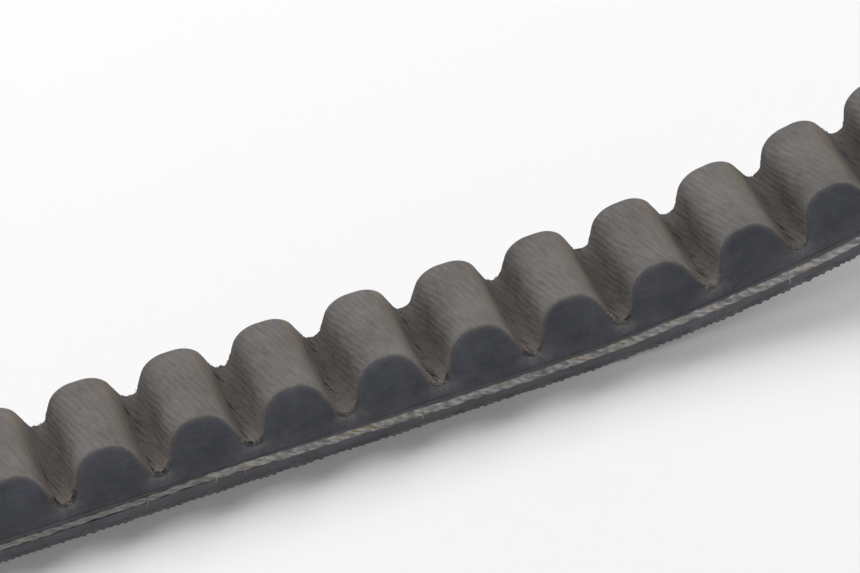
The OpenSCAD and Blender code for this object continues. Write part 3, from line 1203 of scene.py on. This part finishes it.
    def _fibre(self, buffer: MeshBuffer, random: np.random.Generator, index: int, side: float,
               clump: bool) -> None:
        """Adds one bent fibre.

        Args:
            buffer: Mesh that takes the fibre.
            random: Source of the fibre's shape.
            index: Sample of the cog line at which it starts in the cloth.
            side: -1 for the near flank, 1 for the far flank.
            clump: Whether it is part of a clump, drawn in the cloth's painted valley shade.
        """
        length, height = self.line.outer[index]
        across = side * (self.sizes.half_width(height) - random.uniform(*self.fibre_inset))
        size = random.uniform(*self.fibre_size)
        thick = random.uniform(*self.fibre_thick) * (self.clump_thick if clump else 1.0)
        bend = random.uniform(*self.fibre_bend)
        run = length + size * (random.uniform(*self.fibre_lean) * STRAND + bend * STRAND * STRAND)
        sunk = random.uniform(*(self.clump_sunk if clump else self.fibre_sunk))
        rise = height - sunk + size * random.uniform(*self.fibre_rise) * STRAND
        reach = across + side * size * random.uniform(*self.fibre_reach) * STRAND
        taper = (thick * (1 - self.fibre_taper * STRAND))[:, None]
        rings = self.path.place(
            run[:, None] + 0 * STRAND_TURN, rise[:, None] + taper * np.cos(STRAND_TURN),
            reach[:, None] + taper * np.sin(STRAND_TURN))
        # Only tells the fibres apart in their noise.
        weave = np.array([self.line.along[index], across * 3, size * 9])
        buffer.rings(rings, 0 if clump else 2, weave=weave, zone=np.array(self.clump_shade_zone), cut=np.zeros(3))


@dataclass
class CogRubber(BeltLayer):
    """Rubber of the cogs, bare on the two cut flanks, with a haze of dust, paler towards the cord, and a
    grimy line with painted shade over the cord.
    """

    crease: float = 40.0
    rows_up: int = 10
    crowding: float = 1.8
    facing_gap: float = 0.01
    lip: float = 0.03
    # Dark line over the cord: grime, and painted shade in the groove there.
    grime_shade_height: float = 0.25
    grime_shade: float = -0.14
    grime_shade_swing: float = -0.22
    grime_shade_lane: int = 3
    grime_shade_edge: float = 0.01
    root_haze: float = 0.5
    root_reach: Range = (0.9, 1.7)
    smear: float = 0.4
    smear_height: float = 0.2
    smear_lost: float = 0.64
    smear_zone: Range = (0.2, 0.7)
    # The flank pales towards the cord.
    cord_paling: float = 0.14
    cord_paling_zone: Range = (2.4, 1.4)

    def fill(self, buffer: MeshBuffer, span: Span) -> None:
        """Adds the rubber of one span.

        Args:
            buffer: Mesh that takes the rubber.
            span: Stretch of the loop.
        """
        rows = self.line.rows(span.first_cog, span.last_cog)
        inner = self.line.inner[rows]
        length, top = inner[:, 0], inner[:, 1] - self.facing_gap
        share = 1 - (1 - np.linspace(0, 1, self.rows_up)) ** self.crowding
        edge = self.sizes.cushion_top + np.array([0.0, self.lip])
        low = self.sizes.cushion_top + self.grime_shade_height
        heights = low + (top - low)[:, None] * share
        heights = np.concatenate([np.broadcast_to(edge, (len(top), 2)), heights], 1)
        across = self.sizes.half_width(heights)
        across[:, 0] -= self.lip
        ring_height = np.concatenate([heights, heights[:, ::-1]], 1)
        ring_across = np.concatenate([-across, across[:, ::-1]], 1)
        flank_side = np.sign(ring_across)
        run = np.broadcast_to(length[:, None], ring_height.shape)
        astray = run - self.sizes.pitch * np.round(run / self.sizes.pitch)
        up, beside = self.root_reach
        near = np.exp(-((ring_height - self.sizes.valley) / up) ** 2 - (astray / beside) ** 2)
        on_cog = 1 - self.smear_lost * smooth(*self.smear_zone, self.line.depth[rows])[:, None]
        smear = self.smear * on_cog * np.exp((ring_height - top[:, None]) / self.smear_height)
        # Pale dust by the valley roots, the cloth's smear under the facing, and the paling towards the cord.
        haze = self.root_haze * near + smear + self.cord_paling * smooth(*self.cord_paling_zone, ring_height)
        # Below the lowest row, the dark line of grime and painted shade over the cord.
        grime_shade = self.grime_shade + self.grime_shade_swing * noise(Pattern.GRIME_SHADE, run, self.grime_shade_lane * flank_side)
        haze = np.where(ring_height < low - self.grime_shade_edge, grime_shade, haze)
        flank = np.stack([run, ring_height + FLANK_SHIFT * flank_side, haze], -1)
        buffer.rings(self.path.place(run, ring_height, ring_across), flank=flank)


@dataclass
class TensionCords(BeltLayer):
    """Cords side by side on the cord line; the flanks cut the outermost pair open along its plies."""

    crease: float = 60.0
    lay_length: float = 4.4
    half_height: float = 0.46
    shift: float = -0.14
    wander: float = 0.22
    sway: float = 0.04
    slant: float = 0.5
    lump: float = 0.1
    lump_power: float = 0.6
    knot: float = 0.06
    knot_rows: float = 2.0
    sunk: float = 0.02
    turn_swing: float = 0.2
    girth: float = 0.97
    girth_swing: float = 0.08
    ragged: float = 0.09
    worn_range: Range = (0.3, -0.7)
    worn_girth: float = 0.28
    worn_dirt: float = 0.35
    groove_range: Range = (0.7, 0.25)
    groove_dirt_and_shade_weight: float = 0.22
    cushion_gap: float = 0.02
    inside: float = 0.7
    step: float = 0.25
    inner_step: float = 4.0
    inner_sides: int = 6
    rows_up: int = 9
    side_lane: int = 4
    edge_lane: int = 9
    knot_lane: int = 7
    tint_shift: int = 31
    # Real filaments are about 0.02 mm thick; these are drawn thicker, or they wouldn't show.
    stray_thick: float = 0.1
    stray_gap: float = 18.0
    stray_margin: float = 1.0
    stray_size: Range = (0.6, 1.4)
    stray_lean: Range = (-0.7, 0.7)
    stray_bend: Range = (-0.3, 0.3)
    stray_start: float = 0.25
    stray_drop: float = 0.8
    stray_taper: float = 0.5
    stray_proud: float = 0.05
    stray_tint: Range = (0, 9)

    def fill(self, buffer: MeshBuffer, span: Span) -> None:
        """Adds the cords of one span.

        Args:
            buffer: Mesh that takes the cords.
            span: Stretch of the loop.
        """
        sizes = self.sizes
        outermost = sizes.half_width(0.0) - sizes.cord_inset
        gap = 2 * outermost / (sizes.cord_count - 1)
        coarse = span.lengths(sizes, self.inner_step)
        for number in range(1, sizes.cord_count - 1):
            self._round_cord(buffer, coarse, number * gap - outermost)
        fine = span.lengths(sizes, self.step)
        random = np.random.default_rng(FILAMENT_SEED + span.first_cog)
        strays = round(len(fine) * self.step / self.stray_gap)
        for side in SIDES:
            self._cut_cord(buffer, fine, side)
            for start in random.uniform(fine[0] + self.stray_margin, fine[-1] - self.stray_margin, strays):
                self._stray(buffer, random, start, side)

    @classmethod
    def drift(cls, length: Array, side: float) -> Array:
        """Gives how far the cord at a flank wanders off its own line, in height."""
        return cls.wander * noise(Pattern.CORD_DRIFT, length, cls.side_lane * side)

    def _stray(self, buffer: MeshBuffer, random: np.random.Generator, start: float, side: float) -> None:
        """Adds a filament that has come loose from a cut cord and hangs over the rubber.

        Args:
            buffer: Mesh that takes the filament.
            random: Source of the filament's shape.
            start: Length along the cord line at which it leaves the cord.
            side: -1 for the near flank, 1 for the far flank.
        """
        size = random.uniform(*self.stray_size)
        lean = random.uniform(*self.stray_lean) * STRAND
        run = start + size * (lean + random.uniform(*self.stray_bend) * STRAND * STRAND)
        rise = self.shift + self.drift(run, side) - self.stray_start - self.stray_drop * size * STRAND
        thick = (self.stray_thick * (1 - self.stray_taper * STRAND))[:, None]
        reach = side * (self.sizes.half_width(rise) + self.stray_proud)
        rings = self.path.place(
            run[:, None] + thick * np.cos(STRAND_TURN), rise[:, None] + 0 * STRAND_TURN,
            reach[:, None] + thick * np.sin(STRAND_TURN))
        buffer.rings(rings, lay=np.array([start, random.uniform(*self.stray_tint), 0.0]))

    def _round_cord(self, buffer: MeshBuffer, length: Array, across: float) -> None:
        """Adds one whole cord inside the belt.

        Args:
            buffer: Mesh that takes the cord.
            length: Samples along the cord line.
            across: Place across the belt.
        """
        turn = np.arange(self.inner_sides) * 2 * math.pi / self.inner_sides
        radius = self.sizes.cord_diameter / 2
        run = np.broadcast_to(length[:, None], (len(length), self.inner_sides))
        rings = self.path.place(
            run, radius * np.cos(turn) + 0 * run, across + radius * np.sin(turn) + 0 * run)
        buffer.rings(rings, lay=np.stack([run, turn * radius + 0 * run, 0 * run], -1))

    def _cut_cord(self, buffer: MeshBuffer, length: Array, side: float) -> None:
        """Adds the cord that a flank cuts open: a band with one lump for every half turn of its plies.

        Args:
            buffer: Mesh that takes the cord.
            length: Samples along the cord line.
            side: -1 for the near flank, 1 for the far flank.
        """
        rows = np.linspace(1, -1, self.rows_up)
        lane = self.side_lane * side
        sway = self.drift(length, side) + self.sway * noise(Pattern.CORD_SWAY, length, lane)
        worn = smooth(*self.worn_range, noise(Pattern.CORD_WEAR, length, lane))
        turns = 2 * length / self.lay_length + self.turn_swing * noise(Pattern.CORD_TURN, length, lane)
        swing = self.girth_swing * noise(Pattern.CORD_GIRTH, length, lane)
        girth = self.girth + self.girth_swing * np.cos(2 * math.pi * turns) + swing
        girth = girth - self.worn_girth * worn
        upper, lower = (
            girth + self.ragged * noise(Pattern.CORD_EDGE, length, lane + self.edge_lane * edge)
            for edge in (1, 2))
        girth = np.where(rows > 0, upper[:, None], lower[:, None])
        height = self.shift + sway[:, None] + self.half_height * girth * rows
        height = np.minimum(height, self.sizes.cushion_top - self.cushion_gap)
        twist = turns[:, None] + self.slant * rows
        swell = np.abs(np.sin(math.pi * twist)) ** self.lump_power
        knots = noise(Pattern.CORD_KNOT, length[:, None], self.knot_rows * rows + self.knot_lane * side)
        proud = (self.lump * swell + self.knot * knots) * (1 - rows ** 4) - self.sunk
        across = side * (self.sizes.half_width(height) + proud)
        back = side * (self.sizes.half_width(self.shift) - self.inside)
        ends = np.stack([height[:, -1], height[:, 0]], -1)
        up = np.concatenate([height, ends], 1)
        out = np.concatenate([across, np.full(ends.shape, back)], 1)
        run = np.broadcast_to(length[:, None], up.shape)
        rings = self.path.place(run, up, out)
        # Grooves between the lumps of the plies: dirt and painted shade.
        groove_dirt_and_shade = np.concatenate([smooth(*self.groove_range, swell), np.ones(ends.shape)], 1)
        spread = np.concatenate([twist * self.half_height / self.slant, np.zeros(ends.shape)], 1)
        dirt_and_shade = self.groove_dirt_and_shade_weight * groove_dirt_and_shade + self.worn_dirt * worn[:, None]
        lay = np.stack([run + self.tint_shift * side, spread, dirt_and_shade], -1)
        if side > 0:
            rings, lay = rings[:, ::-1], lay[:, ::-1]
        buffer.rings(rings, lay=lay)


@dataclass
class BackRubber(BeltLayer):
    """Cushion rubber between the cogs and the back cloth, with a channel for each outermost cord."""

    crease: float = 40.0
    step: float = 0.8
    channel_depth: float = 0.6
    channel_lap: float = 0.03
    top_inset: float = 0.02
    chip: float = 0.05
    chip_rows: int = 3
    # Dark line of grime and painted shade over the cord's channel.
    grime_shade: float = -0.26

    def fill(self, buffer: MeshBuffer, span: Span) -> None:
        """Adds the rubber of one span.

        Args:
            buffer: Mesh that takes the rubber.
            span: Stretch of the loop.
        """
        sizes, deep = self.sizes, self.channel_depth
        length = span.lengths(sizes, self.step)
        room = TensionCords.half_height - self.channel_lap
        high, low = TensionCords.shift + room, TensionCords.shift - room
        heights = np.array([sizes.cushion_top, high, high, low, low, sizes.back + sizes.back_fabric])
        moves = np.array([0.0, 1.0, 1.0, 1.0, 1.0, 0.0])
        near, far = (heights + moves * TensionCords.drift(length, side)[:, None] for side in SIDES)
        inset = np.array([self.top_inset, 0.0, deep, deep, 0.0, 0.0])
        ring_height = np.concatenate([near, far[:, ::-1]], 1)
        ring_across = np.concatenate(
            [inset - sizes.half_width(near), (sizes.half_width(far) - inset)[:, ::-1]], 1)
        flank_side = np.sign(ring_across)
        run = np.broadcast_to(length[:, None], ring_height.shape)
        chip = self.chip * noise(Pattern.CHIP, run, ring_height * self.chip_rows)
        rings = self.path.place(run, ring_height, ring_across - flank_side * np.abs(chip))
        grime_shade = self.grime_shade * np.array([1.0, 1.0, 1.0, 0.0, 0.0, 0.0])
        grime_shade = np.broadcast_to(np.concatenate([grime_shade, grime_shade[::-1]]), run.shape)
        flank = np.stack([run, ring_height + FLANK_SHIFT * flank_side, grime_shade], -1)
        buffer.rings(rings[:, ::-1], flank=flank[:, ::-1])


@dataclass
class BackFabric(BeltLayer):
    """Cloth on the belt's back, whose threads stand out of its cut edge."""

    step: float = 0.22
    thread: float = 0.9
    thread_turn: float = 30.0
    thread_swing: float = 2.2
    fray: float = 0.34
    fray_mean: float = 0.4
    fray_share: float = 0.45
    fray_most: float = 1.2
    fray_lane: float = 3.0
    bevel: float = 0.12
    bevel_shares: Triple = (0.0, 0.6, 1.0)
    columns: int = 11
    columns_reach: float = 0.985

    def fill(self, buffer: MeshBuffer, span: Span) -> None:
        """Adds the cloth of one span.

        Args:
            buffer: Mesh that takes the cloth.
            span: Stretch of the loop.
        """
        sizes = self.sizes
        length = span.lengths(sizes, self.step)
        top, floor = sizes.back + sizes.back_fabric, sizes.back
        swing = self.thread_swing * noise(Pattern.BACK_THREAD, length)
        beat = np.sin(2 * math.pi * length / self.thread + swing)
        rough = noise(Pattern.BACK_FRAY, length, self.fray_lane)
        stands = self.fray_mean + self.fray_share * beat + self.fray_share * rough
        out = self.fray * np.clip(stands, 0, self.fray_most)
        many = len(length)
        heights = np.array([top, floor + self.bevel, floor])
        edge_up = np.tile(heights, (many, 1))
        edge_out = sizes.half_width(heights) + out[:, None] * np.array(self.bevel_shares)
        columns = np.linspace(-self.columns_reach, self.columns_reach, self.columns) * sizes.half_width(floor)
        ring_up = np.concatenate([edge_up, np.full((many, self.columns), floor), edge_up[:, ::-1]], 1)
        ring_out = np.concatenate([-edge_out, np.tile(columns, (many, 1)), edge_out[:, ::-1]], 1)
        ring_run = np.broadcast_to(length[:, None], ring_up.shape)
        rings = self.path.place(ring_run, ring_up, ring_out)
        turn = math.radians(self.thread_turn)
        along, across = ring_run * math.cos(turn), ring_out * math.sin(turn)
        weave = np.stack([along + across, along - across, np.abs(ring_out) > columns[-1]], -1)
        buffer.rings(rings[:, ::-1], weave=weave[:, ::-1])


@dataclass(frozen=True)
class Studio:
    """Pale floor, soft light and the camera at the photograph's viewing angle.

    The camera's place is in millimetres; the floor and the lamp are in metres.
    """

    camera_place: Triple = (-6.084, -469.261, 325.144)
    camera_right: Triple = (0.945543, -0.262758, -0.192113)
    camera_up: Triple = (0.303566, 0.498873, 0.811772)
    lens: float = 199.85
    sensor: float = 36.0
    clip_start: float = 0.01
    floor_size: float = 4.0
    key_place: Triple = (-0.15, 3.0, 2.5)
    key_size: Range = (5.0, 2.0)
    key_power: float = 206.0
    sky_bright_side: Triple = (0.9, 0.3, 0.0)
    sky_low: float = 0.08
    sky_high: float = 0.46

    def build(self) -> None:
        """Makes the camera, the floor, the lamp and the world."""
        self._camera()
        self._floor()
        self._key()
        self._sky()
        bpy.context.scene.view_settings.view_transform = "Standard"

    def _camera(self) -> None:
        """Puts the camera where the photograph was taken from."""
        data = bpy.data.cameras.new("camera")
        data.sensor_fit = "HORIZONTAL"
        data.sensor_width = self.sensor
        data.lens = self.lens
        data.clip_start = self.clip_start
        camera = bpy.data.objects.new("camera", data)
        right, up = Vector(self.camera_right).normalized(), Vector(self.camera_up).normalized()
        basis = Matrix((right, up, right.cross(up))).transposed().to_4x4()
        camera.matrix_world = Matrix.Translation(Vector(self.camera_place) * MM) @ basis
        bpy.context.collection.objects.link(camera)
        bpy.context.scene.camera = camera

    def _floor(self) -> None:
        """Lays the pale floor under the belt."""
        half = self.floor_size / 2
        corners = [(-half, -half, 0), (half, -half, 0), (half, half, 0), (-half, half, 0)]
        mesh = bpy.data.meshes.new("floor")
        mesh.from_pydata(corners, [], [(0, 1, 2, 3)])
        mesh.materials.append(MatteLaminate().build())
        floor = bpy.data.objects.new("floor", mesh)
        bpy.context.collection.objects.link(floor)

    def _key(self) -> None:
        """Hangs one large soft lamp over and behind the belt."""
        data = bpy.data.lights.new("soft_key", "AREA")
        data.shape = "RECTANGLE"
        data.size, data.size_y = self.key_size
        data.energy = self.key_power
        lamp = bpy.data.objects.new("soft_key", data)
        place = Vector(self.key_place)
        lamp.location = place
        lamp.rotation_euler = (-place).to_track_quat("-Z", "Y").to_euler()
        lamp.visible_camera = False
        bpy.context.collection.objects.link(lamp)

    def _sky(self) -> None:
        """Fills the room with soft light, brighter from one side, that the camera sees as plain white."""
        world = bpy.data.worlds.new("studio")
        world.use_nodes = True
        tree = world.node_tree
        tree.nodes.clear()
        towards = add(tree, "TexCoord", out="Generated")
        side = add(tree, "VectorMath", [towards, self.sky_bright_side], "Value", operation="DOT_PRODUCT")
        glow = add(tree, "MapRange", [side, -1.0, 1.0, self.sky_low, self.sky_high])
        level = add(tree, "MapRange", [looked_at(tree), 0.0, 1.0, glow, 1.0])
        light = add(tree, "Background", {"Color": "#ffffff", "Strength": level})
        add(tree, "OutputWorld", {"Surface": light}, None)
        bpy.context.scene.world = world


def main() -> None:
    """Builds the studio and every layer of the belt, span by span."""
    logging.basicConfig(level=logging.INFO, format="%(name)s: %(message)s")
    Studio().build()
    line = CogLine(LoopPath(BeltSizes()))
    # The cushion is the cogs' rubber painted lighter, as painted light against the shade low on the flank by
    # the floor.
    cushion = GroundRubber("ground_cushion_rubber_painted_lighter", tone=("#757479", "#85848a"))
    layers: list[BeltLayer] = [
        FacingFabric(Layer.FACING, line, [FacingCloth(), CutThreads(), LooseFibre()]),
        CogRubber(Layer.COGS, line, [GroundRubber()]),
        TensionCords(Layer.CORDS, line, [TwistedCord()]),
        BackRubber(Layer.BACK_RUBBER, line, [cushion]),
        BackFabric(Layer.BACK_FABRIC, line, [BackCloth()]),
    ]
    for layer in layers:
        for span in loop_spans():
            piece = layer.build(span)
            LOG.info("%s: %d points", piece.name, len(piece.data.vertices))


if __name__ == "__main__":
    main()
